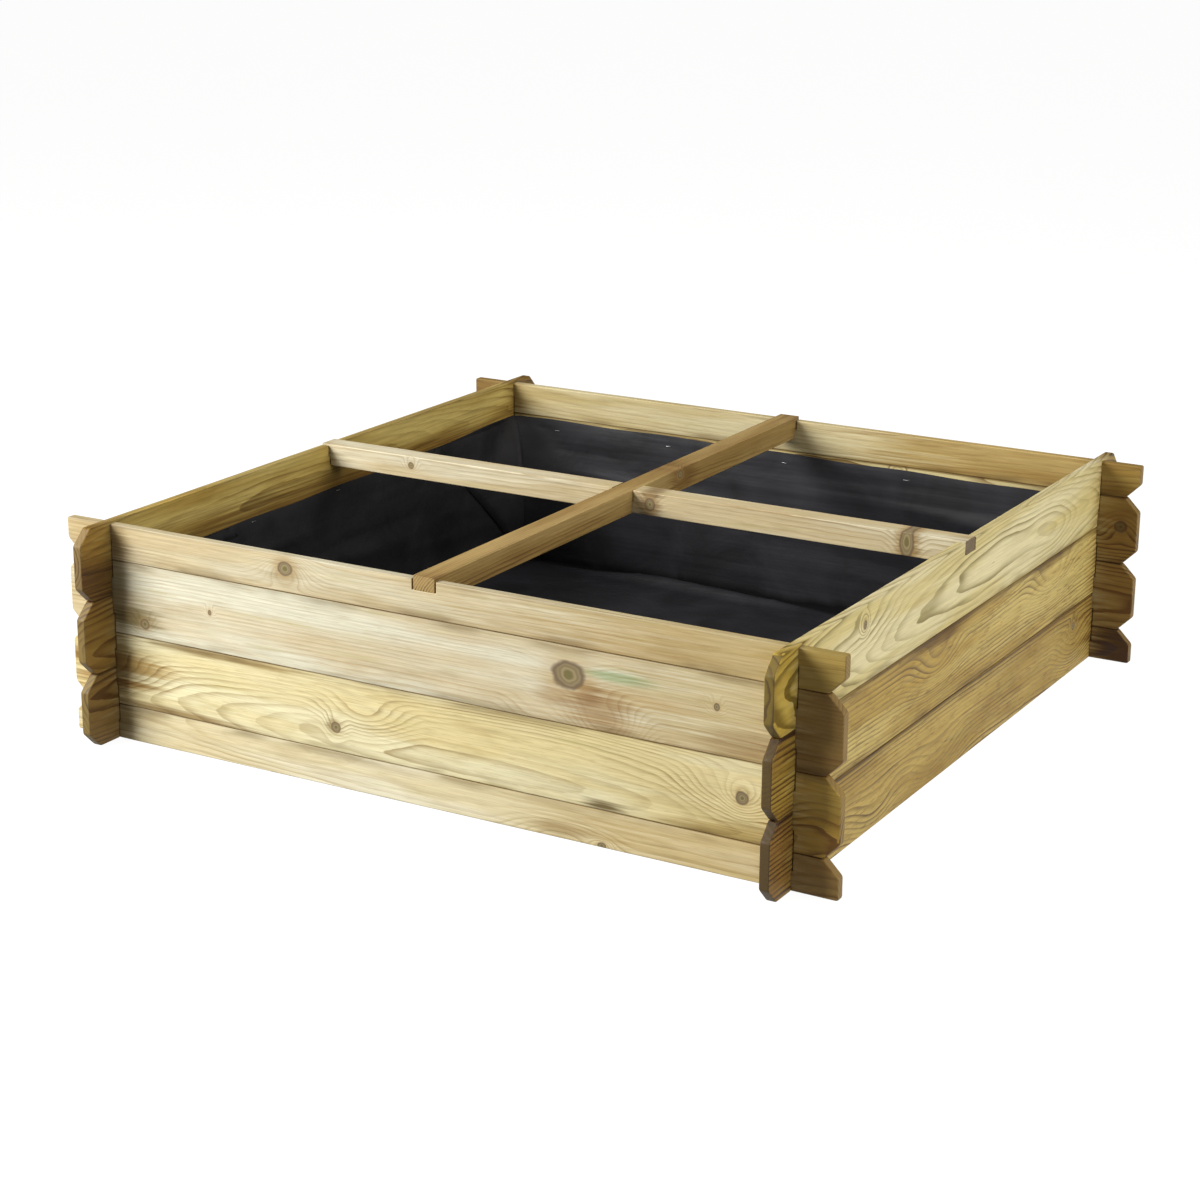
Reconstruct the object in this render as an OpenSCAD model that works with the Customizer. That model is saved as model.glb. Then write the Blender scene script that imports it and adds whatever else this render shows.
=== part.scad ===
// Square slotted-board sandbox frame with two lift-out divider bars, a ground
// liner and its staples. The walls are log-cabin corners: every board is
// notched and locks over the boards that cross it, so no screw is needed.
//
// Origin: middle of the frame, on the ground. +X runs along the front wall,
// +Y from the front wall to the back wall, +Z up.

/* [Wall boards] */
// Length of every wall board, tip to tip
board_length = 1200; // [800:10:2000]
// Thickness of every wall board
board_thickness = 14; // [10:1:22]
// Height of a full board
board_height = 106; // [80:1:160]
// Width lost to the saw when a full board is ripped into two half boards
saw_kerf = 3; // [1:0.5:6]
// How far a board stands out past the outer face of the wall it crosses
corner_overhang = 63; // [40:1:120]
// Size of the 45 degree cut on the corners of a board's ends
end_chamfer = 22; // [5:1:35]
// Small bevel planed along a board's long edges
edge_ease = 1.5; // [0.5:0.5:3]
// Play of a crossing board in its notch, on each side
notch_play = 0.8; // [0.3:0.1:1.5]

/* [Divider bars] */
// Width of a divider bar
bar_width = 34; // [24:1:60]
// Height of a divider bar
bar_height = 34; // [26:1:60]
// Height of the tongue left on the ends of a bar
tongue_height = 20; // [12:1:24]
// How far a bar stands above the left and right walls
bar_proud = 2; // [0:0.5:6]
// Play of a bar in its wall notches, on each side
bar_play = 1.5; // [0.5:0.5:3]
// Play of a bar's shoulders between the walls, at each end
shoulder_play = 1; // [0.5:0.5:3]
// Play between the bars where they are halved over each other
halving_play = 0.5; // [0.3:0.1:1.5]
// Bevel along a bar's long edges
bar_ease = 1; // [0.5:0.5:3]

/* [Liner] */
// Thickness of the liner's solid, a stand-in for the thin woven sheet
liner_skin = 1.5; // [1:0.5:4]
// How far the liner's upper edge hangs below the top of the left and right walls
liner_drop = 66; // [60:1:100]
// Gap between the liner and the walls
liner_gap = 0.4; // [0.2:0.1:1]

/* [Staples] */
// Width of a staple's crown, outside
staple_crown = 10; // [6:1:14]
// Thickness of the staple wire
staple_wire = 1.2; // [0.8:0.1:2]
// Length of a staple's legs, below the crown
staple_leg = 8; // [6:1:10]
// Staples along each wall
staples_per_wall = 5; // [3:1:9]
// Distance from the liner's upper edge down to the staples
staple_inset = 9; // [5:1:20]
// Distance from a corner of the liner to the first staple
staple_margin = 90; // [40:5:200]

/* [Hidden] */

// Courses of the walls. The front and back walls start and end with a half
// board, so their seams fall half way up the boards of the side walls.
half_height = (board_height - saw_kerf) / 2;
side_top = 3 * board_height;

// Plan: middle planes and faces of the walls, the same in X and in Y
wall_outer = board_length / 2 - corner_overhang;
wall_middle = wall_outer - board_thickness / 2;
wall_inner = wall_outer - board_thickness;

// Corner notches. A side board gives up a quarter of its height at each edge,
// and a front or back board the rest of what the two of them share.
notch_width = board_thickness + 2 * notch_play;
side_notch = board_height / 4;
front_notch_top = half_height - side_notch;
front_notch_bottom = board_height - half_height - side_notch;

// Divider bars and the notches that carry their tongues
bar_top = side_top + bar_proud;
bar_bottom = bar_top - bar_height;
bar_seat = bar_top - tongue_height;
bar_notch_width = bar_width + 2 * bar_play;
bar_shoulder = wall_inner - shoulder_play;
halving_width = bar_width + 2 * halving_play;
halving_middle = bar_top - bar_height / 2;

// Liner
liner_outer = wall_inner - liner_gap;
liner_inner = liner_outer - liner_skin;
liner_top = side_top - liner_drop;

// Staples
staple_z = liner_top - staple_inset;
staple_reach = liner_outer - staple_margin;

// How far a cutting shape runs past the face that it opens
cut = 1;

wood_front = [0.87, 0.80, 0.62];
wood_side = [0.75, 0.68, 0.42];
wood_bar = [0.80, 0.70, 0.50];
liner_black = [0.12, 0.12, 0.13];
zinc = [0.75, 0.76, 0.78];

// Side elevation of a board: length along X, height along Y from 0 to height.
// low and high are the chamfers at the lower and the upper corners of the ends.
module board_outline(height, low, high) {
    end = board_length / 2;
    polygon([
        [-end + low, 0], [end - low, 0], [end, low], [end, height - high],
        [end - high, height], [-end + high, height], [-end, height - high], [-end, low]
    ]);
}

// Cross-section of planed timber with its four long edges bevelled, from z = 0 up
module eased_section(width, height, ease) {
    half = width / 2;
    polygon([
        [-half + ease, 0], [half - ease, 0], [half, ease], [half, height - ease],
        [half - ease, height], [-half + ease, height], [-half, height - ease], [-half, ease]
    ]);
}

// Straight timber along X, centred, standing on z = 0
module eased_timber(length, width, height, ease) {
    rotate([90, 0, 90])
        translate([0, 0, -length / 2])
            linear_extrude(length) eased_section(width, height, ease);
}

// A block through the whole thickness of a board, from z = bottom to z = top
module notch(x, width, bottom, top) {
    translate([x - width / 2, -board_thickness, bottom])
        cube([width, 2 * board_thickness, top - bottom]);
}

// A wall board along X, centred, standing on z = 0. notch_low and notch_high
// are the depths of its corner notches, and 0 leaves that edge whole.
module board(height, low, high, notch_low, notch_high) {
    difference() {
        intersection() {
            eased_timber(board_length, board_thickness, height, edge_ease);
            rotate([90, 0, 0])
                translate([0, 0, -board_thickness])
                    linear_extrude(2 * board_thickness) board_outline(height, low, high);
        }
        for (x = [-wall_middle, wall_middle]) {
            if (notch_low > 0) notch(x, notch_width, -cut, notch_low);
            if (notch_high > 0) notch(x, notch_width, height - notch_high, height + cut);
        }
    }
}

// The four courses of the front or back wall, in the wall's own place at y = 0
module half_board_bottom() {
    color(wood_front) board(half_height, 0, end_chamfer, 0, front_notch_top);
}

module full_board(course) {
    color(wood_front)
        translate([0, 0, half_height + course * board_height])
            board(board_height, end_chamfer, end_chamfer, front_notch_bottom, front_notch_top);
}

module half_board_top() {
    bottom = half_height + 2 * board_height;
    color(wood_front)
        difference() {
            translate([0, 0, bottom])
                board(half_height, end_chamfer, 0, front_notch_bottom, 0);
            notch(0, bar_notch_width, bar_seat, side_top + cut);
        }
}

// A course of the left or right wall, turned to run along Y
module side_board(course) {
    color(wood_side)
        rotate([0, 0, 90])
            difference() {
                translate([0, 0, course * board_height])
                    board(board_height, end_chamfer, end_chamfer, side_notch, side_notch);
                if (course == 2) notch(0, bar_notch_width, bar_seat, side_top + cut);
            }
}

module at_front() translate([0, -wall_middle, 0]) children();
module at_back() translate([0, wall_middle, 0]) children();
module at_left() translate([-wall_middle, 0, 0]) children();
module at_right() translate([wall_middle, 0, 0]) children();

// A divider bar along X: a tongue on top of each end drops into the wall's
// notch, and the shoulder under it stops against the wall's inner face.
module divider_bar() {
    difference() {
        translate([0, 0, bar_bottom])
            eased_timber(2 * wall_outer, bar_width, bar_height, bar_ease);
        for (side = [-1, 1])
            translate([side * (bar_shoulder + board_thickness), 0, (bar_bottom + bar_seat) / 2 - cut / 2])
                cube([2 * board_thickness, bar_width + 2 * cut, bar_seat - bar_bottom + cut], center = true);
    }
}

// The lower bar of the pair, halved from above
module divider_left_right() {
    color(wood_bar)
        difference() {
            divider_bar();
            translate([-halving_width / 2, -bar_width, halving_middle - halving_play / 2])
                cube([halving_width, 2 * bar_width, bar_height]);
        }
}

// The upper bar of the pair, halved from below
module divider_front_back() {
    color(wood_bar)
        rotate([0, 0, 90])
            difference() {
                divider_bar();
                translate([-halving_width / 2, -bar_width, halving_middle + halving_play / 2 - bar_height])
                    cube([halving_width, 2 * bar_width, bar_height]);
            }
}

// The sheet as it lies: a floor on the ground and four skirts up the walls
module liner() {
    color(liner_black)
        difference() {
            translate([-liner_outer, -liner_outer, 0])
                cube([2 * liner_outer, 2 * liner_outer, liner_top]);
            translate([-liner_inner, -liner_inner, liner_skin])
                cube([2 * liner_inner, 2 * liner_inner, liner_top]);
        }
}

// One staple with its crown flat on the liner at y = 0 and its legs towards +Y
module staple() {
    translate([-staple_crown / 2, -staple_wire, -staple_wire / 2])
        cube([staple_crown, staple_wire, staple_wire]);
    for (x = [-staple_crown / 2, staple_crown / 2 - staple_wire])
        translate([x, -cut / 2, -staple_wire / 2])
            cube([staple_wire, staple_leg + cut / 2, staple_wire]);
}

// A row of staples along each wall, through the liner into the board behind
module liner_staples() {
    pitch = 2 * staple_reach / (staples_per_wall - 1);
    color(zinc)
        for (turn = [0:90:270])
            for (i = [0:staples_per_wall - 1])
                rotate([0, 0, turn])
                    translate([-staple_reach + i * pitch, liner_inner, staple_z]) staple();
}

at_front() half_board_bottom();  // front_board_bottom
at_front() full_board(0);  // front_board_lower
at_front() full_board(1);  // front_board_upper
at_front() half_board_top();  // front_board_top
at_back() half_board_bottom();  // back_board_bottom
at_back() full_board(0);  // back_board_lower
at_back() full_board(1);  // back_board_upper
at_back() half_board_top();  // back_board_top
at_left() side_board(0);  // left_board_bottom
at_left() side_board(1);  // left_board_middle
at_left() side_board(2);  // left_board_top
at_right() side_board(0);  // right_board_bottom
at_right() side_board(1);  // right_board_middle
at_right() side_board(2);  // right_board_top
divider_left_right();
divider_front_back();
liner();
liner_staples();
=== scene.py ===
# A slot-together sandbox: four walls of pressure-treated pine boards, two crossing divider bars
# that lift out, and a black film liner stapled round the inside.
import math
import random

import bmesh
import bpy
from mathutils import Matrix, Vector, noise


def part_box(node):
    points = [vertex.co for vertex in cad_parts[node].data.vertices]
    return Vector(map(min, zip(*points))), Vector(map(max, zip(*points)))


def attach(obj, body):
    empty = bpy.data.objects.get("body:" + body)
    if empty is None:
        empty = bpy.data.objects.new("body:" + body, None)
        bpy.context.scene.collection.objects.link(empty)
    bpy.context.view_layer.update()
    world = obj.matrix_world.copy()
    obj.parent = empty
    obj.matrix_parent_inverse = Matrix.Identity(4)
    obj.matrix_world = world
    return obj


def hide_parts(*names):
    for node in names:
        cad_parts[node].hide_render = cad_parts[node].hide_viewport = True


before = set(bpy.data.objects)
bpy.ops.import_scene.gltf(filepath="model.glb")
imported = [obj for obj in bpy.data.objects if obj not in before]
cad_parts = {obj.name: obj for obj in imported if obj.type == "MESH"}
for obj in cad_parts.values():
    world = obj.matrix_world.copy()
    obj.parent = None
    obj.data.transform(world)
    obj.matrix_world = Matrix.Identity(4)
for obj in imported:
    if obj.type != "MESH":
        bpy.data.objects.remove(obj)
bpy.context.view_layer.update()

# ---------------------------------------------------------------------------------------------
# Front and back boards. Planed softwood boards, sawn to length, with the corners of their ends
# cut off where two boards meet and a slot on each side of a seam, at each crossing. The bottom
# and top ones are ripped in half, so that every seam falls at the middle of a side board.
# ---------------------------------------------------------------------------------------------
MM = 0.001
board_low, board_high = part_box("front_board_lower")
side_low, side_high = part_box("right_board_middle")
board_half = board_high.x
board_depth = board_high.y - board_low.y
front_wall = -(board_low.y + board_high.y) / 2
side_wall = (side_low.x + side_high.x) / 2
slot_play = 1.6 * MM
slot_width = board_depth + slot_play
front_slot_top = 25 * MM
front_slot_bottom = 28 * MM
end_cut = 22 * MM
end_softness = 3 * MM
board_ease = 1.8 * MM
bar_slot_width = 37 * MM
bar_slot_floor = 300 * MM
most_bow = 0.4 * MM
most_twist = 0.25 * MM
most_push = 0.5 * MM
edge_waver = 0.25 * MM


def linear(hex_colour):
    """An sRGB hex colour as the linear values that a shader takes."""
    values = [int(hex_colour[i : i + 2], 16) / 255 for i in (1, 3, 5)]
    return [v / 12.92 if v <= 0.04045 else ((v + 0.055) / 1.055) ** 2.4 for v in values] + [1.0]


def dips(level, inward, slots):
    """Points along a long edge, from left to right, that go down into each slot and out again."""
    points = []
    for middle, width, depth in sorted(slots):
        left, right = middle - width / 2, middle + width / 2
        points += [(left, level), (left, level + inward * depth)]
        points += [(right, level + inward * depth), (right, level)]
    return points


def softened(corner, before, after, radius):
    """A corner rounded over: three points of the curve between its two edges."""
    corner, before, after = Vector(corner), Vector(before), Vector(after)
    start = corner + (before - corner).normalized() * radius
    end = corner + (after - corner).normalized() * radius
    middle = (start + end + 2 * corner) / 4
    return [tuple(start), tuple(middle), tuple(end)]


def board_outline(half, height, top_slots, bottom_slots, cut_top, cut_bottom):
    """The outline of a board lying along X: its slots, its cut-off corners and their soft points."""
    ends = []
    for side in (1, -1):
        low = [(side * (half - end_cut), 0), (side * half, end_cut)]
        low = low if cut_bottom else [(side * half, 0)]
        high = [(side * half, height - end_cut), (side * (half - end_cut), height)]
        high = high if cut_top else [(side * half, height)]
        ends.append(low + high)
    rows = [dips(0, 1, bottom_slots), ends[0], dips(height, -1, top_slots)[::-1], ends[1][::-1]]
    corners = [(point, index in (1, 3)) for index, row in enumerate(rows) for point in row]
    outline = []
    for index, (point, at_end) in enumerate(corners):
        before, after = corners[index - 1][0], corners[(index + 1) % len(corners)][0]
        outline += softened(point, before, after, end_softness) if at_end else [point]
    return outline


def in_scene(name, data):
    """An object that is in the scene, with the mesh, light or camera that it is given."""
    made = bpy.data.objects.new(name, data)
    bpy.context.scene.collection.objects.link(made)
    return made


def smooth_mesh(name, bm, sharp_from=None):
    """Turns finished geometry into a smooth-shaded mesh, with the steepest edges left sharp."""
    mesh = bpy.data.meshes.new(name)
    bm.to_mesh(mesh)
    bm.free()
    mesh.shade_smooth()
    if sharp_from is not None:
        mesh.set_sharp_from_angle(angle=math.radians(sharp_from))
    return mesh


def plank(name, outline, depth, ease, warp):
    """Saws a plank to its outline, rounds its edges over and lets it move a little as it dries."""
    cell = 30 * MM
    bm = bmesh.new()
    face = bm.faces.new([bm.verts.new((x, -depth / 2, z)) for x, z in outline])
    grown = bmesh.ops.extrude_face_region(bm, geom=[face])["geom"]
    for vert in (part for part in grown if isinstance(part, bmesh.types.BMVert)):
        vert.co.y += depth
    bmesh.ops.recalc_face_normals(bm, faces=bm.faces)
    rims = [edge for edge in bm.edges if abs(edge.verts[0].co.y - edge.verts[1].co.y) < depth / 2]
    bmesh.ops.bevel(bm, geom=rims, offset=ease, segments=3, profile=0.5, affect="EDGES",
                    clamp_overlap=True)
    reach = max(x for x, _ in outline)
    top = max(z for _, z in outline)
    for cut in range(1, int(2 * reach / cell)):
        everything = [*bm.verts, *bm.edges, *bm.faces]
        across = (cut * cell - reach, 0, 0)
        bmesh.ops.bisect_plane(bm, geom=everything, plane_co=across, plane_no=(1, 0, 0))
    everything = [*bm.verts, *bm.edges, *bm.faces]
    bmesh.ops.bisect_plane(bm, geom=everything, plane_co=(0, 0, top / 2), plane_no=(0, 0, 1))
    shift, bow, twist, seed = warp
    for vert in bm.verts:
        along, up = vert.co.x / reach, 2 * vert.co.z / top - 1
        vert.co.y -= shift + bow * (1 - along * along) + twist * along * up
        vert.co.z += edge_waver * noise.noise(Vector((vert.co.x * 9, vert.co.y * 20, seed))) * up
    piece = in_scene(name, smooth_mesh(name, bm, sharp_from=38))
    piece.modifiers.new("flat faces", "WEIGHTED_NORMAL").keep_sharp = True
    return piece


def add(tree, kind, *feeds, named=None, **settings):
    """Adds one node with its settings, feeds its sockets in order or by name, gives its output."""
    node = tree.nodes.new(kind)
    for key, value in settings.items():
        setattr(node, key, value)
    sockets = [socket for socket in node.inputs if socket.enabled]
    pairs = list(zip(sockets, feeds))
    pairs += [(node.inputs[key], value) for key, value in (named or {}).items()]
    for socket, value in pairs:
        if isinstance(value, bpy.types.NodeSocket):
            tree.links.new(value, socket)
        elif value is not None:
            socket.default_value = value
    return next((socket for socket in node.outputs if socket.enabled), None)


def planed_pine(name, early, drift, late, pith, ring, contrast=0.75, arch=(0.07, 0), waver=8,
                knots=(), swells=(), tints=(), shaded_seams=(), flecks=0.2,
                end_stains_and_shade=("#a98c45", "#a98c45"), lines_at_ends=2.2, end_colour="#8a7040",
                half=board_half, seed=1.0):
    """Planed, pressure-treated pine. The eye sees pale wood, darker lines where it was cut across
    the yearly rings, knots that the lines part round, the wood darkened near the sawn ends by the
    treatment (and on the front boards' right ends by painted shade as well), painted shade and dirt
    along each seam, and fine silky fibres. Early is the spring wood, drifting to a second tone, and
    late the autumn lines. All sizes are mm of the board's own face. The pith is the middle of the
    tree, (depth, height); ring is a year's growth; arch is how steeply the tree tapers along the
    board, and from where; a knot is (along, up, half width, half height); a swell pushes the rings
    out (along, up, length, height, rings); a tint multiplies a patch of the wood by a colour (along,
    up, length, height, colour, amount), mostly staining, but painted shade where that is said; a
    shaded seam is (height, how far its painted shade and dirt reach); the end colours are what the
    left and the right end are darkened by, and lines_at_ends is how much that picks the lines out;
    flecks is how rough the plane left it."""
    wood = bpy.data.materials.new(name)
    wood.use_nodes = True
    tree = wood.node_tree
    tree.nodes.clear()
    spots = add(tree, "ShaderNodeTexCoord").node.outputs
    place = spots["Object"]
    elsewhere = (seed * 1.7, seed * 0.9, seed * 2.3)
    sample = add(tree, "ShaderNodeVectorMath", place, elsewhere, operation="ADD")

    def stretched(along, across, detail):
        """Noise drawn out along the grain."""
        scale = (1 / (along * MM), 1 / (across * MM), 1 / (across * MM))
        cells = add(tree, "ShaderNodeVectorMath", sample, scale, operation="MULTIPLY")
        return add(tree, "ShaderNodeTexNoise", cells, 1.0, detail)

    def spread(value, low, high, to_low=0.0, to_high=1.0):
        return add(tree, "ShaderNodeMapRange", value, low, high, to_low, to_high,
                   interpolation_type="SMOOTHSTEP")

    def maths(operation, *values):
        return add(tree, "ShaderNodeMath", *values, operation=operation)

    def blend(amount, under, over, how="MIX"):
        return add(tree, "ShaderNodeMix", amount, under, over, data_type="RGBA", blend_type=how)

    def away(along, up, length, height):
        """How far a point lies from a place on the face, counted in that place's own size."""
        spot = add(tree, "ShaderNodeMapping", place, (along * MM, 0, up * MM), (0, 0, 0),
                   (length * MM, 10, height * MM), vector_type="TEXTURE")
        return add(tree, "ShaderNodeVectorMath", spot, operation="LENGTH")

    # Knots, and how far they and the swells push the rings aside.
    nearest = 40.0
    for knot in knots:
        nearest = maths("MINIMUM", nearest, away(*knot))
    tear = maths("MULTIPLY", maths("SUBTRACT", stretched(26, 18, 2), 0.5), 0.6)
    ragged = maths("ADD", nearest, tear)
    push = maths("MULTIPLY", spread(nearest, 4.2, 0.0), 2.8)
    for along, up, length, height, rings in swells:
        swollen = spread(away(along, up, length, height), 1.0, 0.0)
        push = maths("ADD", push, maths("MULTIPLY", swollen, rings))

    # The yearly rings: the distance from the pith, which wanders, counted in rings.
    taper, taper_from = arch
    to_pith = (-taper * taper_from * MM, -pith[0] * MM, -pith[1] * MM)
    log = add(tree, "ShaderNodeMapping", place, to_pith, (0, 0, 0), (taper, 1, 1), vector_type="POINT")
    radius = add(tree, "ShaderNodeVectorMath", log, operation="LENGTH")
    wander = maths("MULTIPLY", maths("SUBTRACT", stretched(330, 75, 2), 0.5), 2 * waver * MM)
    shiver = maths("MULTIPLY", maths("SUBTRACT", stretched(60, 12, 2), 0.5), 2.0 * MM)
    grown = maths("ADD", maths("ADD", radius, wander), shiver)
    years = maths("ADD", maths("DIVIDE", grown, ring * MM), push)
    season = maths("FRACT", years)
    ripening = maths("POWER", spread(season, 0.05, 0.95), 2.7)
    late_wood = maths("MULTIPLY", ripening, spread(season, 1.0, 0.95))
    good_year = spread(add(tree, "ShaderNodeTexNoise", maths("MULTIPLY", years, 0.37), 1.0, 1.0,
                           noise_dimensions="1D"), 0.35, 0.62, 0.35, 1.0)
    patch = spread(stretched(260, 42, 2), 0.36, 0.6, 0.35, 1.0)
    parts = add(tree, "ShaderNodeSeparateXYZ", place).node.outputs
    ends = maths("ABSOLUTE", parts["X"])
    creep = maths("MULTIPLY", maths("SUBTRACT", stretched(60, 7, 3), 0.5), 110 * MM)
    soak = maths("ADD", ends, creep)
    line = maths("MULTIPLY", late_wood, good_year)
    line = maths("MULTIPLY", line, maths("MULTIPLY", patch, 1.15 * contrast))
    picked_out = spread(soak, half - 130 * MM, half - 40 * MM, 1.0, lines_at_ends)
    line = add(tree, "ShaderNodeMath", line, picked_out, operation="MULTIPLY", use_clamp=True)

    # Colour, from the pale wood up to the stain of the treatment. Real fibres are some 0.03 mm
    # across: they are drawn 1.5 mm across, and their bundles 3.4 mm, so that they show.
    fibre = stretched(60, 1.5, 3)
    streak = stretched(170, 3.4, 3)
    tone = blend(spread(stretched(420, 48, 2), 0.38, 0.62), linear(early), linear(drift))
    tone = blend(line, tone, linear(late))
    tone = blend(0.48, tone, spread(fibre, 0.25, 0.75, 0.72, 1.14), "MULTIPLY")
    tone = blend(0.42, tone, spread(streak, 0.3, 0.7, 0.84, 1.1), "MULTIPLY")
    tone = blend(spread(stretched(150, 9, 3), 0.55, 0.75, 0.0, 0.3), tone, linear("#a9a060"))
    nicks = spread(stretched(24, 1.7, 2), 0.56, 0.7, 0.0, flecks)
    tone = blend(nicks, tone, linear(late))
    smudge = spread(stretched(90, 17, 3), 0.5, 0.72, 0.0, 0.15 + 0.4 * flecks)
    tone = blend(smudge, tone, linear("#c4b07e"), "MULTIPLY")
    frayed = maths("MULTIPLY", maths("SUBTRACT", streak, 0.5), 1.2)
    for along, up, length, height, colour, amount in tints:
        near = maths("ADD", away(along, up, length, height), frayed)
        tone = blend(spread(near, 1.0, 0.25, 0.0, amount), tone, linear(colour), "MULTIPLY")

    # Each knot: a soft halo, the branch's own rings, an olive heart and a dark rim of bark.
    halo = maths("MULTIPLY", spread(ragged, 2.3, 0.9), 0.34)
    tone = blend(halo, tone, linear("#a98a55"))
    turn = spread(maths("PINGPONG", maths("MULTIPLY", ragged, 2.6), 0.5), 0.0, 0.5)
    heart = blend(turn, linear("#948560"), linear("#7a6b4a"))
    heart = blend(spread(ragged, 0.45, 0.15), heart, linear("#6a6238"))
    tone = blend(spread(ragged, 1.06, 0.86), tone, heart)
    rim = maths("MULTIPLY", spread(ragged, 0.6, 0.86), spread(ragged, 1.22, 0.98))
    tone = blend(maths("MULTIPLY", rim, 0.62), tone, linear("#5a4838"))

    # What the ends took up, with painted shade on the front boards' right ends; painted shade and dirt
    # at each seam; and the end grain itself.
    to_the_right = spread(parts["X"], -100 * MM, 100 * MM)
    end_stain_and_shade = blend(to_the_right, linear(end_stains_and_shade[0]), linear(end_stains_and_shade[1]))
    # Darker towards each sawn end: treatment soaked in, and on the front boards' right ends painted
    # shade as well, where the right wall's protruding ends shade them.
    tone = blend(spread(soak, half - 125 * MM, half - 25 * MM, 0.0, 0.9), tone, end_stain_and_shade, "MULTIPLY")
    seam_shade_and_grime = 0.0
    dull = spread(stretched(130, 40, 2), 0.46, 0.64, 0.08, 0.6)
    for level, reach in shaded_seams:
        gap = maths("ABSOLUTE", maths("SUBTRACT", parts["Z"], level * MM))
        # A narrow dark band along the seam: painted shade in the gap and under a proud board; the wider
        # rubbed band is dirt.
        seam_shadow = spread(gap, reach * MM, 0.3 * reach * MM)
        seam_shadow = maths("MULTIPLY", seam_shadow, spread(streak, 0.25, 0.6, 0.5, 0.9))
        rubbed = maths("MULTIPLY", spread(gap, (reach + 15) * MM, 0.0), dull)
        seam_shade_and_grime = maths("MAXIMUM", seam_shade_and_grime, maths("MAXIMUM", seam_shadow, rubbed))
    # 86713c darkens each seam: painted shade, with rubbed dirt.
    tone = blend(seam_shade_and_grime, tone, linear("#86713c"), "MULTIPLY")
    facing = add(tree, "ShaderNodeSeparateXYZ", spots["Normal"]).node.outputs
    end_grain = spread(maths("ABSOLUTE", facing["X"]), 0.5, 0.72, 0.0, 0.82)
    tone = blend(end_grain, tone, blend(line, linear(end_colour), linear("#4a3819")))

    # The autumn lines, the fibres and the knots' rims stand proud by fractions of a millimetre.
    relief = maths("ADD", maths("MULTIPLY", line, 0.25), maths("MULTIPLY", fibre, 0.5))
    relief = maths("ADD", relief, maths("MULTIPLY", rim, 0.5))
    bump = add(tree, "ShaderNodeBump", named={"Strength": 0.5, "Distance": 0.5 * MM, "Height": relief})
    rough = spread(maths("ADD", fibre, maths("MULTIPLY", line, -0.3)), 0.2, 0.8, 0.52, 0.74)
    skin = add(tree, "ShaderNodeBsdfPrincipled", named={
        "Base Color": tone,
        "Roughness": rough,
        "IOR": 1.47,
        "Specular IOR Level": 0.35,
        "Normal": bump,
    })
    add(tree, "ShaderNodeOutputMaterial", skin)
    return wood


def warp_for(seed):
    """How a board has moved: pushed out, bowed and twisted, each by well under a millimetre."""
    draw = random.Random(seed)
    push = draw.uniform(0, most_push)
    bow = draw.uniform(0, most_bow)
    return push, bow, draw.uniform(-most_twist, most_twist), seed


def lay_board(name, outline, turn, wall, pine, seed):
    """Puts a board in its wall, its outer face out, and gives it its wood."""
    low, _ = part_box(name)
    piece = plank(f"{name}_planed", outline, board_depth, board_ease, warp_for(seed))
    piece.matrix_world = Matrix.Rotation(turn, 4, "Z") @ Matrix.Translation((0, -wall, low.z))
    piece.data.materials.append(pine)
    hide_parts(name)
    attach(piece, "frame")


def front_wall_outline(name):
    """A full board, or the half board at the foot or the top of the wall."""
    low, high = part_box(name)
    crossings = (-side_wall, side_wall)
    above = [(x, slot_width, front_slot_top) for x in crossings]
    below = [(x, slot_width, front_slot_bottom) for x in crossings]
    cut_top, cut_bottom = True, True
    if name.endswith("bottom"):
        below, cut_bottom = [], False
    if name.endswith("top"):
        above, cut_top = [(0, bar_slot_width, high.z - bar_slot_floor)], False
    return board_outline(board_half, high.z - low.z, above, below, cut_top, cut_bottom)


# The olive tints beside the left wall, at -490 to -524, are partly staining and partly painted shade in
# the corner there. The wide pale tints at 560 make each board darker and warmer towards its right end.
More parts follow.
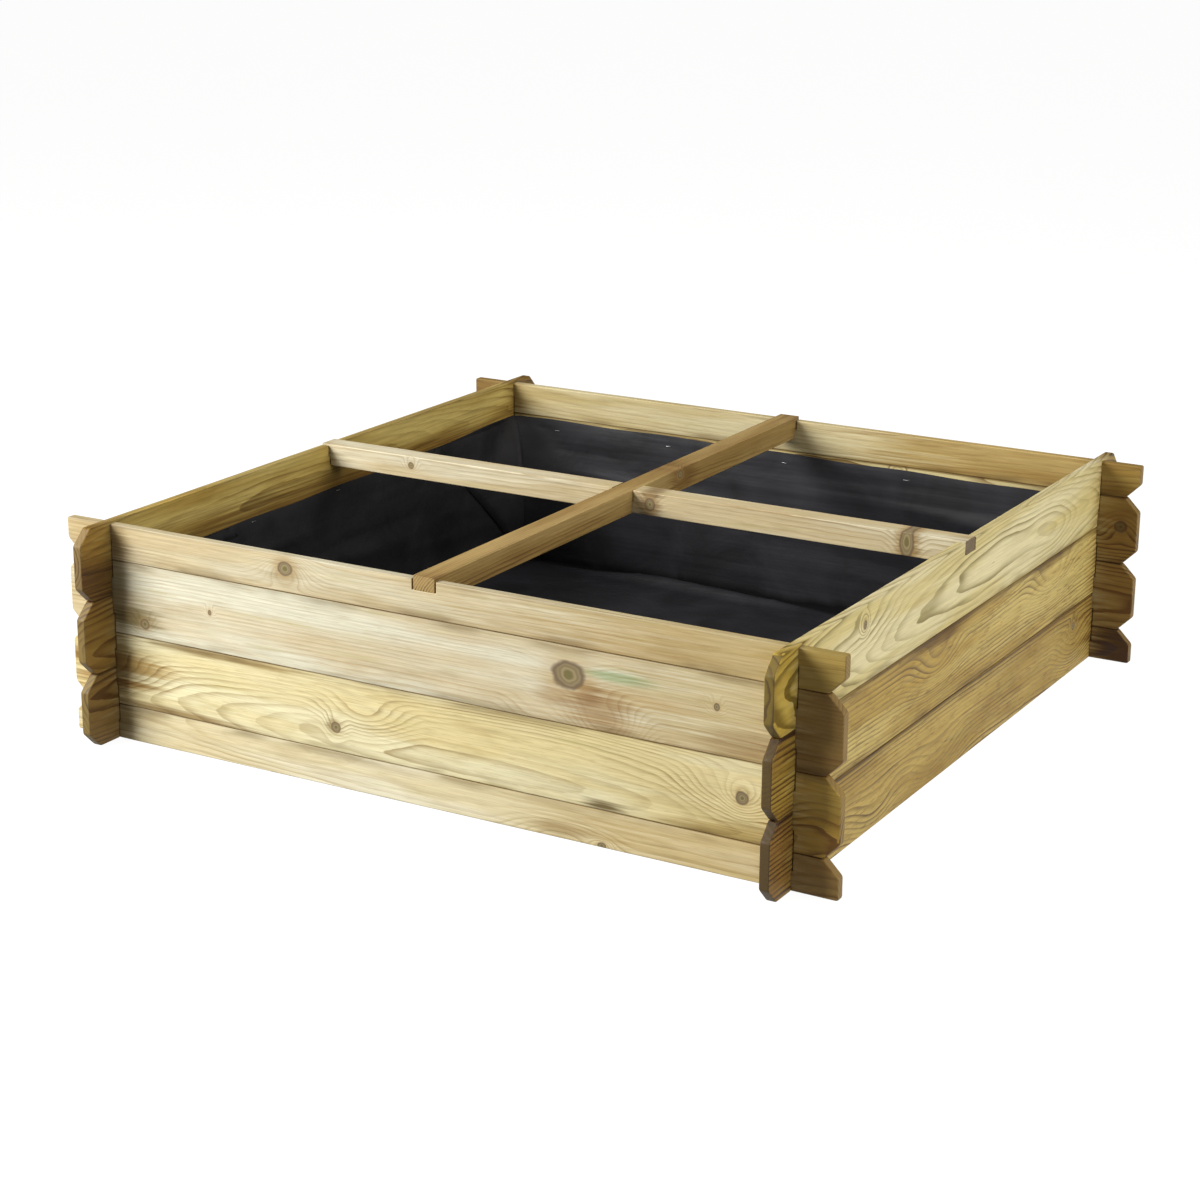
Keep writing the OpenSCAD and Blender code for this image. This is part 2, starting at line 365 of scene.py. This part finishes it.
front_pines = {
    "front_board_bottom": dict(
        early="#e3ddc2", drift="#d6c9a1", late="#a18b5a", pith=(66, 50), ring=5.0, contrast=0.6,
        end_stains_and_shade=("#f4efe2", "#a98c45"), lines_at_ends=1.4, arch=(0.06, 210), waver=7,
        knots=[(268, 3, 6, 4)], shaded_seams=[(51.5, 1.8)],
        swells=[(206, 6, 120, 38, 4), (-250, 40, 200, 40, -2)],
        tints=[(206, 12, 60, 14, "#b59f74", 0.5), (560, 30, 480, 160, "#f4e9d2", 1.0),
               (-522, 26, 44, 60, "#9c8a55", 0.7)]),
    "front_board_lower": dict(
        early="#e1d9b1", drift="#d9ca95", late="#866a31", pith=(45, 22), ring=4.2, contrast=0.62,
        end_stains_and_shade=("#f4efe2", "#d2b148"), lines_at_ends=1.6,
        arch=(0.1, 60), waver=4, knots=[(-145, 35, 7, 7), (467, 57, 9, 9)], shaded_seams=[(0, 1.8), (106, 1.8)],
        swells=[(-98, 56, 110, 48, 5), (-560, 52, 170, 46, 5), (462, 60, 120, 52, 5),
                (190, 84, 300, 40, -2)],
        tints=[(270, 6, 46, 10, "#6e5c2c", 0.9), (-520, 62, 130, 22, "#c4a050", 0.8),
               (-520, 32, 110, 13, "#b08a3c", 0.85), (-524, 60, 34, 90, "#9c8448", 0.6),
               (-420, 3, 190, 12, "#957638", 0.8), (-330, 102, 190, 10, "#9f8444", 0.7),
               (450, 6, 120, 22, "#b39c4e", 0.7), (-150, 36, 15, 15, "#7c6a36", 0.6)]),
    "front_board_upper": dict(
        early="#d5d2bc", drift="#c9bc9a", late="#9e8054", pith=(62, -34), ring=4.4, contrast=0.42,
        arch=(0.05, 300), waver=5, shaded_seams=[(0, 1.8), (106, 1.8)],
        knots=[(217, 67, 23, 18), (-468, 21, 7, 7), (429, 63, 4, 5), (-353, 56, 3, 4)],
        end_stains_and_shade=("#f4efe2", "#a98c45"), lines_at_ends=1.4,
        swells=[(268, 4, 95, 62, 9), (168, 8, 70, 40, 3)],
        tints=[(288, 76, 78, 13, "#d4eee2", 1.0), (262, 28, 74, 36, "#b8935c", 0.6),
               (244, 48, 30, 26, "#b48c56", 0.5),
               (470, 20, 90, 30, "#b39a7c", 0.5), (-490, 26, 66, 26, "#8a8048", 0.8),
               (196, 36, 40, 22, "#b98f4a", 0.45), (-522, 70, 40, 80, "#a09268", 0.7),
               (560, 50, 440, 220, "#efe0c0", 1.0)]),
    "front_board_top": dict(
        early="#cdc5a8", drift="#c1b18b", late="#9c7f52", pith=(60, 96), ring=4.0, contrast=0.42,
        arch=(0.06, -200), waver=5, knots=[(-222, 33, 11, 9)], shaded_seams=[(0, 1.8)],
        swells=[(-225, 33, 80, 38, 4)], end_stains_and_shade=("#f4efe2", "#d2c780"), lines_at_ends=1.3,
        tints=[(560, 25, 560, 200, "#ecdcba", 1.0), (-222, 33, 34, 24, "#c0a878", 0.6),
               (-520, 22, 40, 40, "#9a8550", 0.75), (0, 52, 2000, 4, "#e8ecf3", 1.0)]),
}
back_pines = {
    "back_board_bottom": dict(
        early="#cbbf93", drift="#bda874", late="#8d6f3b", pith=(50, 20), ring=5.0,
        # The tint at -590 darkens the end that stands out past the right wall: painted shade where the
        # right wall shades it.
        knots=[(-150, 30, 8, 7)], shaded_seams=[(51.5, 1.8)], tints=[(-590, 25, 80, 70, "#8a7347", 1.0)]),
    "back_board_lower": dict(
        early="#cfc296", drift="#c1ae78", late="#8b6d37", pith=(46, 40), ring=4.6, contrast=0.9,
        knots=[(120, 70, 9, 9), (-380, 30, 8, 8)], shaded_seams=[(0, 1.8), (106, 1.8)]),
    "back_board_upper": dict(
        early="#cdbf8c", drift="#bca76c", late="#7d5f2c", pith=(-40, 88), ring=4.2, contrast=0.9,
        waver=9, knots=[(-200, 96, 6, 4), (300, 45, 10, 9), (-574, 60, 10, 9)],
        shaded_seams=[(0, 2.4), (106, 3.5)]),
    "back_board_top": dict(
        early="#c7bc95", drift="#b09e6c", late="#927848", pith=(-70, 70), ring=3.8, contrast=0.45,
        waver=5, end_stains_and_shade=("#bfaf68", "#a98c45"), shaded_seams=[(0, 1.8)],
        tints=[(-420, 25, 420, 160, "#e6d3aa", 1.0)]),
}
for index, (name, wood) in enumerate(front_pines.items()):
    planed = planed_pine(f"planed pine {name}", seed=1.0 + index, **wood)
    lay_board(name, front_wall_outline(name), 0, front_wall, planed, 11 + index)
for index, (name, wood) in enumerate(back_pines.items()):
    planed = planed_pine(f"planed pine {name}", seed=7.3 + index, **wood)
    lay_board(name, front_wall_outline(name), math.pi, front_wall, planed, 21 + index)

# ---------------------------------------------------------------------------------------------
# Side boards. Three full boards a side, slotted top and bottom, which hook over the front and
# back boards half a board's height out of step with them. The top one holds the divider bar.
# ---------------------------------------------------------------------------------------------
side_slot = 26.5 * MM


def side_wall_outline(name):
    """A full board; the top one is whole above, but for the slot that holds the bar."""
    low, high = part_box(name)
    crossings = (-front_wall, front_wall)
    above = [(x, slot_width, side_slot) for x in crossings]
    below = list(above)
    if name.endswith("top"):
        above = [(0, bar_slot_width, high.z - bar_slot_floor)]
    return board_outline(board_half, high.z - low.z, above, below, True, True)


# On the right boards, the wide seam bands along the top of the lower two boards are painted shade, as if
# each board above stood proud and shaded the one below.
right_pines = {
    "right_board_bottom": dict(
        early="#c1a65c", drift="#a98b42", late="#644817", pith=(38, -50), ring=6.0, contrast=1.0,
        flecks=0.6, arch=(0.07, -180), waver=6, knots=[(440, 74, 6, 6)], end_colour="#372e16",
        shaded_seams=[(106, 8)],
        swells=[(-97, 22, 150, 60, 4), (-290, 16, 130, 60, 4), (444, 40, 110, 54, 4)]),
    "right_board_middle": dict(
        early="#d0ba71", drift="#b79a4d", late="#70531f", pith=(40, 130), ring=5.6, contrast=0.95,
        flecks=0.6, arch=(0.06, -80), waver=6, end_stains_and_shade=("#b5a142", "#a98c45"), end_colour="#34260c",
        shaded_seams=[(0, 2), (106, 9)],
        swells=[(-102, 60, 130, 54, -4), (332, 66, 130, 54, -4), (90, 100, 200, 24, -2)],
        # These two tints, dark patches just under the top board, are painted shade from the board above.
        tints=[(-90, 100, 150, 16, "#8d7434", 0.8), (330, 100, 110, 14, "#8d7434", 0.7)]),
    "right_board_top": dict(
        early="#e3d8aa", drift="#d5c587", late="#86773a", pith=(42, 48), ring=4.7, contrast=0.85,
        flecks=0.12, arch=(0.13, 70), waver=10, knots=[(-344, 79, 5, 6)], end_colour="#584817",
        shaded_seams=[(0, 2)],
        end_stains_and_shade=("#cbb54c", "#a98c45"), swells=[(-350, 72, 170, 44, 3), (330, 50, 120, 70, -2)],
        tints=[(0, 107, 2000, 4, "#e5e5ee", 1.0)]),
}
left_pines = {
    "left_board_bottom": dict(
        early="#c9b783", drift="#b59b5c", late="#82642f", pith=(44, 70), ring=4.6, contrast=0.85,
        arch=(0.08, 0), waver=10, knots=[(200, 40, 9, 9)], end_colour="#716032", shaded_seams=[(106, 4)]),
    "left_board_middle": dict(
        early="#cdbd88", drift="#bba566", late="#856735", pith=(40, 35), ring=4.8, contrast=0.85,
        arch=(0.08, -120), waver=11, knots=[(-260, 62, 10, 9), (410, 30, 6, 6)], end_colour="#6f5d32",
        end_stains_and_shade=("#a98c45", "#bc9e50"), shaded_seams=[(0, 2.4), (106, 4)]),
    "left_board_top": dict(
        early="#d0ba6e", drift="#b99b4c", late="#7b5c24", pith=(-46, 60), ring=4.6, contrast=0.6,
        arch=(0.08, 160), waver=7, end_colour="#735f39", shaded_seams=[(0, 2.4)],
        # The first tint, a brown band along the lower part of this board, is painted shade: the inner
        # face darkens as it goes down into the box, and the outer face takes the same band.
        tints=[(0, 22, 1500, 62, "#8f7340", 0.85), (0, 108, 2000, 6, "#c4c2c6", 1.0)]),
}
for index, (name, wood) in enumerate(right_pines.items()):
    planed = planed_pine(f"planed pine {name}", seed=13.1 + index, **wood)
    lay_board(name, side_wall_outline(name), math.pi / 2, side_wall, planed, 31 + index)
for index, (name, wood) in enumerate(left_pines.items()):
    planed = planed_pine(f"planed pine {name}", seed=19.7 + index, **wood)
    lay_board(name, side_wall_outline(name), -math.pi / 2, side_wall, planed, 41 + index)

# ---------------------------------------------------------------------------------------------
# Divider bars. Two square planed bars, thinned to tongues that drop into the walls, and halved
# into each other in the middle. The upper one has to come out before the lower one can.
# ---------------------------------------------------------------------------------------------
bar_low, bar_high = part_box("divider_left_right")
bar_width = bar_high.y - bar_low.y
bar_half = bar_high.x
bar_height = bar_high.z - bar_low.z
bar_shoulder = 522 * MM
bar_ease = 1.5 * MM
halving_play = 1 * MM
halving_width = bar_width + halving_play
halving_level = bar_height / 2
tongue_level = bar_slot_floor - bar_low.z
stain_reach = 620 * MM


def bar_outline(halved_from_above):
    """A bar with a tongue at each end and a halving in the middle of its top or its bottom."""
    slot = [(0, halving_width, halving_level)]
    under = [] if halved_from_above else dips(0, 1, slot)
    over = dips(bar_height, -1, slot) if halved_from_above else []
    right = [(bar_shoulder, 0), (bar_shoulder, tongue_level)]
    right += [(bar_half, tongue_level), (bar_half, bar_height)]
    left = [(-x, z) for x, z in reversed(right)]
    return under + right + over[::-1] + left


bars = {
    "divider_left_right": (True, 0, "lower_bar", dict(
        early="#cfc8ae", drift="#c1b18c", late="#93794b", pith=(60, -20), ring=3.6, contrast=0.6,
        arch=(0.04, 0), waver=5, knots=[(-371, 20, 5, 5), (46, 17, 8, 9), (450, 19, 10, 22)],
        end_colour="#55422a",
        tints=[(46, 17, 26, 40, "#8a6f45", 0.8), (452, 17, 24, 40, "#9c8455", 0.8)])),
    "divider_front_back": (False, math.pi / 2, "upper_bar", dict(
        early="#a48a56", drift="#937742", late="#654921", pith=(-50, -10), ring=3.4, contrast=0.7,
        arch=(0.04, 0), waver=5, knots=[(130, 26, 7, 6)], end_colour="#a58a55",
        tints=[(140, 20, 60, 30, "#b0925c", 0.6), (-300, 6, 420, 26, "#dcd3be", 1.0)])),
}
for index, (name, (from_above, turn, body, wood)) in enumerate(bars.items()):
    straight = (0, 0, 0, 51 + index)
    piece = plank(f"{name}_planed", bar_outline(from_above), bar_width, bar_ease, straight)
    piece.matrix_world = Matrix.Rotation(turn, 4, "Z") @ Matrix.Translation((0, 0, bar_low.z))
    planed = planed_pine(f"planed pine {name}", seed=27.7 + index, half=stain_reach, **wood)
    piece.data.materials.append(planed)
    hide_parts(name)
    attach(piece, body)

# ---------------------------------------------------------------------------------------------
# Liner. One square of black polythene film laid in the box: flat over the ground, round a slack
# bend at the foot and up the walls, with its spare corners folded flat and its edge turned in.
# ---------------------------------------------------------------------------------------------
_, liner_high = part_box("liner")
liner_half = liner_high.x
liner_top = liner_high.z
film_gap = 1.1 * MM
fold_gap = 0.6 * MM
pleat_gap = 2.4 * MM
foot_bend = 13 * MM
hem = 18 * MM
film_thickness = 0.4 * MM
deepest_slack = 5 * MM
deepest_wrinkle = 8 * MM
edge_droop = 1.6 * MM
edge_ripple = 0.9 * MM
corner_calm = 60 * MM
foot_radius = 14 * MM
slack_radius = 150 * MM
pleat_puff = 5 * MM
pleat_run = 200 * MM
fold_spread = 5 * MM
folds_across = (-0.26, 0.0, 0.27)
folds_along = (-0.25, 0.26)
tucks = ((231, 3.0), (213, 4.0), (193, 4.5), (168, 3.5))
climb_length = liner_top - foot_bend * (2 - math.pi / 2)
staple_pitch = (liner_half - 90 * MM) / 2


def climb(past):
    """Where the film is when it has run this far past the foot of the wall: (in from it, up)."""
    if past < -foot_bend:
        return -past, 0.0
    turned = (past + foot_bend) / foot_bend
    if turned < math.pi / 2:
        return foot_bend * (1 - math.sin(turned)), foot_bend * (1 - math.cos(turned))
    if past > climb_length:
        return -fold_gap, liner_top - (past - climb_length)
    return 0.0, foot_bend + foot_bend * (turned - math.pi / 2)


def ridges(x, y, seed):
    """Film creases: sharp crests with slack hollows between them, from 0 to 1."""
    value = noise.noise(Vector((x, y, seed)))
    return (1 - min(1.0, abs(value) * 2.6)) ** 3


def drape(along, up, side):
    """How far the film hangs in from the wall, and how far its edge droops between staples."""
    share = max(0.0, min(1.0, up / liner_top))
    between = math.sin(math.pi * along / staple_pitch) ** 2
    belly = math.sin(math.pi * share) ** 0.8 * (1 - share ** 8 * (1 - between))
    slack = deepest_slack * (0.5 + 0.5 * noise.noise(Vector((along * 3, up * 6, side))))
    wrinkle = 0.5 + 0.9 * noise.noise(Vector((along * 2.1 + up, up * 27 + along * 1.6, side + 3)))
    pulls = deepest_wrinkle * max(0.0, wrinkle) ** 2 * (0.3 + 0.7 * share)
    ripple = edge_ripple * between * share ** 6
    tucked = 0.0
    for level, depth in tucks:
        wander = level * MM + 9 * MM * noise.noise(Vector((along * 3.2, level * 0.37, side + 6)))
        strength = max(0.0, 0.45 + noise.noise(Vector((along * 2.4, level * 0.71, side + 9))))
        tucked += depth * MM * strength * math.exp(-abs(up - wander) / (5 * MM))
    return belly * (slack + pulls + tucked) + ripple, edge_droop * between * share ** 4


def bridged(x, y, up):
    """Slack film bridges the upright corner instead of going right into it."""
    share = max(0.0, min(1.0, up / liner_top))
    radius = foot_radius + slack_radius * math.sin(math.pi * share) ** 0.6
    over_x, over_y = x - (liner_half - radius), y - (liner_half - radius)
    if over_x <= 0 or over_y <= 0:
        return x, y
    pull = max(over_x, over_y) / math.hypot(over_x, over_y)
    return x - over_x * (1 - pull), y - over_y * (1 - pull)


def pulled_up(x, y, z):
    """How much higher or lower the film was stapled, most at the back left and least in front."""
    from_back = (liner_half - y) / (2 * liner_half)
    from_left = (liner_half + x) / (2 * liner_half)
    if abs(x) > abs(y):
        at_edge = 12 * (1 - from_back) ** 4 - 4 if x < 0 else 2 * (1 - from_back)
    else:
        at_edge = 8 - 6 * from_left ** 2 if y > 0 else 4 * from_left - 4
    return at_edge * MM * max(0.0, z / liner_top) ** 1.5


def ground_swell(x, y):
    """How high the film stands off the ground: folds from its packet, waves, a roll at each foot."""
    fold = max(math.exp(-abs(x - at) / fold_spread) for at in folds_across)
    fold = max(fold, max(math.exp(-abs(y - at) / fold_spread) for at in folds_along))
    waves = 0.5 + 0.5 * noise.noise(Vector((x * 3, y * 3, 2.2)))
    roll = 0.0
    for across, along, side in ((x, y, 3.1), (y, x, 8.6)):
        lifted = max(0.0, min(0.8, 0.3 + 1.5 * noise.noise(Vector((along * 2.6, across * 0.4, side)))))
        in_from_wall = (24 + 16 * noise.noise(Vector((along * 5, 0.5, side)))) * MM
        off_crest = liner_half - abs(across) - in_from_wall
        roll = max(roll, lifted * 18 * MM * math.exp(-(off_crest / (10 * MM)) ** 2))
    crests = ridges(x * 1.4, y * 2.0, 7.7)
    return (0.8 + 1.5 * fold + 6 * waves + 6 * crests) * MM + roll


def film_point(u, v):
    """A point of the flat sheet, (u, v) from its middle, where it lies in the box."""
    sign_x, sign_y = math.copysign(1, u), math.copysign(1, v)
    past_x, past_y = abs(u) - liner_half, abs(v) - liner_half
    if past_x > 0 and past_y > 0:
        run, across = max(past_x, past_y), min(past_x, past_y)
        inward, up = climb(run)
        layer = pleat_gap if past_x >= past_y else 2 * pleat_gap
        puff = pleat_puff * math.sin(math.pi * min(1.0, across / pleat_run))
        puff *= 1.7 if past_y > past_x else 1.0
        x = liner_half - inward - film_gap - layer - puff * min(1.0, across / (30 * MM))
        x, y = bridged(x, liner_half - film_gap - across, up)
        x, y = sign_x * x, sign_y * y
        return Vector((x, y, max(up, film_gap) + pulled_up(x, y, up)))
    inward_x, up_x = climb(past_x)
    inward_y, up_y = climb(past_y)
    up = max(up_x, up_y)
    tight = min(1.0, up / foot_bend)
    if past_x > past_y:
        hang, droop = drape(v, up, sign_x * 5 + 1)
        x = liner_half - inward_x - film_gap - hang * max(0.0, min(1.0, -past_y / corner_calm))
        y = liner_half - (inward_y * (1 - tight) + max(-past_y, film_gap) * tight)
        up_y *= 1 - tight
    else:
        hang, droop = drape(u, up, sign_y * 5 + 2)
        y = liner_half - inward_y - film_gap - hang * max(0.0, min(1.0, -past_x / corner_calm))
        x = liner_half - (inward_x * (1 - tight) + max(-past_x, film_gap) * tight)
        x = min(x, liner_half - film_gap - 2 * pleat_gap * tight)
        up_x *= 1 - tight
    on_ground = max(0.0, 1 - 2 * tight)
    z = up_x + up_y + on_ground * ground_swell(u, v) + (1 - on_ground) * film_gap
    z = max(z - droop * min(1.0, tight), 0.3 * MM)
    x, y = bridged(x, y, z)
    x, y = sign_x * x, sign_y * y
    return Vector((x, y, z + pulled_up(x, y, z)))


def stops():
    """The flat sheet's grid lines from its middle out, with one on each fold."""
    bend_start = liner_half - foot_bend
    bend_end = bend_start + foot_bend * math.pi / 2
    edge = liner_half + climb_length
    marks = [0.0]
    for end, cell in ((bend_start - 50 * MM, 10.5 * MM), (bend_start, 4.5 * MM), (bend_end, 4 * MM),
                      (edge, 6.5 * MM), (edge + hem, 9 * MM)):
        start = marks[-1]
        count = max(2, round((end - start) / cell))
        marks += [start + (end - start) * (i + 1) / count for i in range(count)]
    return [-mark for mark in reversed(marks[1:])] + marks


lines = stops()
bm = bmesh.new()
grid = [[bm.verts.new(film_point(u, v)) for v in lines] for u in lines]
for i in range(len(lines) - 1):
    for j in range(len(lines) - 1):
        a, b, c, d = grid[i][j], grid[i + 1][j], grid[i + 1][j + 1], grid[i][j + 1]
        middle_u, middle_v = abs(lines[i] + lines[i + 1]) / 2, abs(lines[j] + lines[j + 1]) / 2
        on_fold = middle_u > liner_half and abs(middle_u - middle_v) < MM
        if on_fold and (lines[i] > 0) == (lines[j] > 0):
            bm.faces.new((a, b, c))
            bm.faces.new((a, c, d))
        elif on_fold:
            bm.faces.new((a, b, d))
            bm.faces.new((b, c, d))
        else:
            bm.faces.new((a, b, c, d))
film = in_scene("liner_film", smooth_mesh("liner_film", bm, sharp_from=70))


def polythene_film():
    """Black polythene film, blown and rolled. The eye sees a soft charcoal sheen over near-black,
    slack creases, the faint lengthwise lines of the roll and painted shade in the bend at the foot
    of each wall. The roll's lines are some 20 to 250 mm apart, and its grit is drawn 2 mm across so
    that it shows."""
    black = bpy.data.materials.new("blown polythene film")
    black.use_nodes = True
    tree = black.node_tree
    tree.nodes.clear()
    place = add(tree, "ShaderNodeTexCoord").node.outputs["Object"]
    creases = add(tree, "ShaderNodeTexNoise", place, 9.0, 3.0, 0.5, 2.0, 0.8)
    rolled = add(tree, "ShaderNodeVectorMath", place, (4.0, 30.0, 46.0), operation="MULTIPLY")
    rolled = add(tree, "ShaderNodeTexNoise", rolled, 1.0, 3.0)
    grit = add(tree, "ShaderNodeTexNoise", place, 520.0, 2.0)
    dust = add(tree, "ShaderNodeMapRange", creases, 0.35, 0.7, 0.0, 1.0)
    shade = add(tree, "ShaderNodeMix", dust, linear("#202023"), linear("#2e2e33"), data_type="RGBA")
    off_middle = add(tree, "ShaderNodeVectorMath", place, operation="ABSOLUTE")
    parts = add(tree, "ShaderNodeSeparateXYZ", off_middle).node.outputs
    outward = add(tree, "ShaderNodeMath", parts["X"], parts["Y"], operation="MAXIMUM")
    crease_from, crease_to = liner_half - 26 * MM, liner_half - 12 * MM
    at_wall = add(tree, "ShaderNodeMapRange", outward, crease_from, crease_to, 0.0, 1.0)
    level = add(tree, "ShaderNodeMath", creases, 26 * MM, parts["Z"], operation="MULTIPLY_ADD")
    at_foot = add(tree, "ShaderNodeMapRange", level, 38 * MM, 24 * MM, 0.0, 1.0)
    foot_shade = add(tree, "ShaderNodeMath", at_wall, at_foot, operation="MULTIPLY")
    # Painted shade: the film turns near-black (#060607) in the bend at the foot of each wall, where the
    # fold lies in its own shade; the same mask also makes it rougher.
    shade = add(tree, "ShaderNodeMix", foot_shade, shade, linear("#060607"), data_type="RGBA")
    rough = add(tree, "ShaderNodeMapRange", rolled, 0.3, 0.7, 0.5, 0.64)
    rough = add(tree, "ShaderNodeMath", foot_shade, 0.36, rough, operation="MULTIPLY_ADD", use_clamp=True)
    height = add(tree, "ShaderNodeMath", rolled, 0.5, creases, operation="MULTIPLY_ADD")
    height = add(tree, "ShaderNodeMath", grit, 0.03, height, operation="MULTIPLY_ADD")
    bump = add(tree, "ShaderNodeBump", named={"Strength": 0.45, "Distance": 7 * MM, "Height": height})
    skin = add(tree, "ShaderNodeBsdfPrincipled", named={
        "Base Color": shade,
        "Roughness": rough,
        "IOR": 1.5,
        "Specular IOR Level": 0.2,
        "Normal": bump,
    })
    add(tree, "ShaderNodeOutputMaterial", skin)
    return black


film.data.materials.append(polythene_film())
skin = film.modifiers.new("film thickness", "SOLIDIFY")
skin.thickness = film_thickness
skin.offset = 0.0
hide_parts("liner")
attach(film, "frame")

# ---------------------------------------------------------------------------------------------
# Staples. Galvanised wire staples, five to a wall, shot through the turned-in edge of the film.
# ---------------------------------------------------------------------------------------------
staple_low, staple_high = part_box("liner_staples")
staple_level = (staple_low.z + staple_high.z) / 2
staple_crown = 10 * MM
staple_leg = 8 * MM
wire = 1.2 * MM
wire_sides = 10
packed_film = 1.5 * MM


def galvanised_wire():
    """Drawn, galvanised steel wire. The eye sees dull silver, cloudy where the zinc has bloomed.
    The bloom is drawn about 1 mm across, as coarse as the wire, so that it shows."""
    zinc = bpy.data.materials.new("galvanised drawn wire")
    zinc.use_nodes = True
    tree = zinc.node_tree
    tree.nodes.clear()
    place = add(tree, "ShaderNodeTexCoord").node.outputs["Object"]
    bloom = add(tree, "ShaderNodeTexNoise", place, 900.0, 3.0)
    shade = add(tree, "ShaderNodeMix", bloom, linear("#6f7375"), linear("#a3a6a8"), data_type="RGBA")
    rough = add(tree, "ShaderNodeMapRange", bloom, 0.3, 0.7, 0.28, 0.5)
    bump = add(tree, "ShaderNodeBump", named={"Strength": 0.3, "Distance": 0.05 * MM, "Height": bloom})
    skin = add(tree, "ShaderNodeBsdfPrincipled", named={
        "Base Color": shade,
        "Metallic": 1.0,
        "Roughness": rough,
        "Normal": bump,
    })
    add(tree, "ShaderNodeOutputMaterial", skin)
    return zinc


def bent_wire(name):
    """A staple: a round wire bent twice, its crown along X and its legs going off along +Y."""
    bend = 1.5 * MM
    path = [(-staple_crown / 2, staple_leg)]
    for side in (-1, 1):
        turns = [math.radians(90 * step / 4) for step in range(5)]
        turns = turns if side < 0 else turns[::-1]
        centre_x = side * (staple_crown / 2 - bend)
        path += [(centre_x + side * bend * math.cos(t), bend - bend * math.sin(t)) for t in turns]
    path.append((staple_crown / 2, staple_leg))
    bm = bmesh.new()
    rings = []
    for index, (x, y) in enumerate(path):
        before, after = path[max(index - 1, 0)], path[min(index + 1, len(path) - 1)]
        ahead = Vector((after[0] - before[0], after[1] - before[1], 0)).normalized()
        aside = Vector((ahead.y, -ahead.x, 0))
        ring = []
        for step in range(wire_sides):
            angle = math.tau * step / wire_sides
            around = aside * math.cos(angle) + Vector((0, 0, 1)) * math.sin(angle)
            ring.append(bm.verts.new(Vector((x, y, 0)) + around * wire / 2))
        rings.append(ring)
    for near, far in zip(rings, rings[1:]):
        for step in range(wire_sides):
            beside = (step + 1) % wire_sides
            bm.faces.new((near[step], near[beside], far[beside], far[step]))
    bm.faces.new(rings[0][::-1])
    bm.faces.new(rings[-1])
    bmesh.ops.recalc_face_normals(bm, faces=bm.faces)
    return smooth_mesh(name, bm)


zinc = galvanised_wire()
for wall, turn in (("back", 0), ("left", math.pi / 2), ("front", math.pi), ("right", -math.pi / 2)):
    for place in range(-2, 3):
        name = f"staple_{wall}_{place + 3}"
        piece = in_scene(name, bent_wire(name))
        face = liner_half - packed_film - wire / 2
        seat = Matrix.Translation((place * staple_pitch, face, staple_level))
        piece.matrix_world = Matrix.Rotation(turn, 4, "Z") @ seat
        piece.data.materials.append(zinc)
        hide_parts("liner_staples")
        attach(piece, "frame")

# ---------------------------------------------------------------------------------------------
# Studio. A glowing white table with a large soft light to the front left, a low white card to
# the right, and a camera that looks down at the front right corner.
# ---------------------------------------------------------------------------------------------
table_half = 60.0
table_mesh = bpy.data.meshes.new("table")
table_corners = [(x * table_half, y * table_half, 0) for x, y in ((-1, -1), (1, -1), (1, 1), (-1, 1))]
table_mesh.from_pydata(table_corners, [], [(0, 1, 2, 3)])
table = in_scene("table", table_mesh)
opal = bpy.data.materials.new("opal acrylic table")
opal.use_nodes = True
tree = opal.node_tree
tree.nodes.clear()
skin = add(tree, "ShaderNodeBsdfPrincipled", named={
    "Base Color": (0.14, 0.14, 0.14, 1),
    "Roughness": 0.9,
    "Specular IOR Level": 0.0,
    "Emission Color": (1, 1, 1, 1),
    "Emission Strength": 0.945,
})
add(tree, "ShaderNodeOutputMaterial", skin)
table.data.materials.append(opal)
table.visible_diffuse = False

world = bpy.data.worlds.new("studio air")
world.use_nodes = True
world.node_tree.nodes["Background"].inputs["Color"].default_value = (1.0, 0.97, 0.92, 1)
world.node_tree.nodes["Background"].inputs["Strength"].default_value = 0.2
bpy.context.scene.world = world
bpy.context.scene.view_settings.view_transform = "Standard"


def soft_light(name, place, target, width, height, watts, colour):
    """A rectangular soft light, turned to face a point."""
    light = bpy.data.lights.new(name, "AREA")
    light.shape = "RECTANGLE"
    light.size = width
    light.size_y = height
    light.energy = watts
    light.color = colour
    lamp = in_scene(name, light)
    lamp.location = place
    lamp.rotation_mode = "QUATERNION"
    lamp.rotation_quaternion = (Vector(target) - Vector(place)).to_track_quat("-Z", "Y")
    lamp.visible_camera = False


daylight, warmer, warm = (1.0, 0.985, 0.96), (1.0, 0.98, 0.95), (1.0, 0.97, 0.9)
soft_light("key softbox", (-2.4, -2.75, 2.1), (0, -0.1, 0.2), 2.3, 2.1, 278, daylight)
soft_light("side softbox", (2.9, -0.1, 1.1), (0.0, 0.0, 0.15), 2.2, 1.2, 55, warm)
soft_light("top softbox", (0.3, 0.5, 3.3), (0.0, 0.0, 0.2), 2.4, 2.4, 30, warmer)

camera_place = Vector((1.8025, -3.2083, 1.2863))
camera_yaw = math.radians(-29.952)
camera_pitch = math.radians(17.220)
camera_roll = math.radians(0.367)
level = math.cos(camera_pitch)
ahead = Vector((math.sin(camera_yaw) * level, math.cos(camera_yaw) * level, -math.sin(camera_pitch)))
level_right = Vector((math.cos(camera_yaw), -math.sin(camera_yaw), 0))
level_up = level_right.cross(ahead)
right = math.cos(camera_roll) * level_right + math.sin(camera_roll) * level_up
up = math.cos(camera_roll) * level_up - math.sin(camera_roll) * level_right
lens = bpy.data.cameras.new("camera")
lens.sensor_width = 36
lens.lens = 77.97
camera = in_scene("camera", lens)
turned = Matrix((right, up, -ahead)).transposed()
camera.matrix_world = Matrix.Translation(camera_place) @ turned.to_4x4()
bpy.context.scene.camera = camera
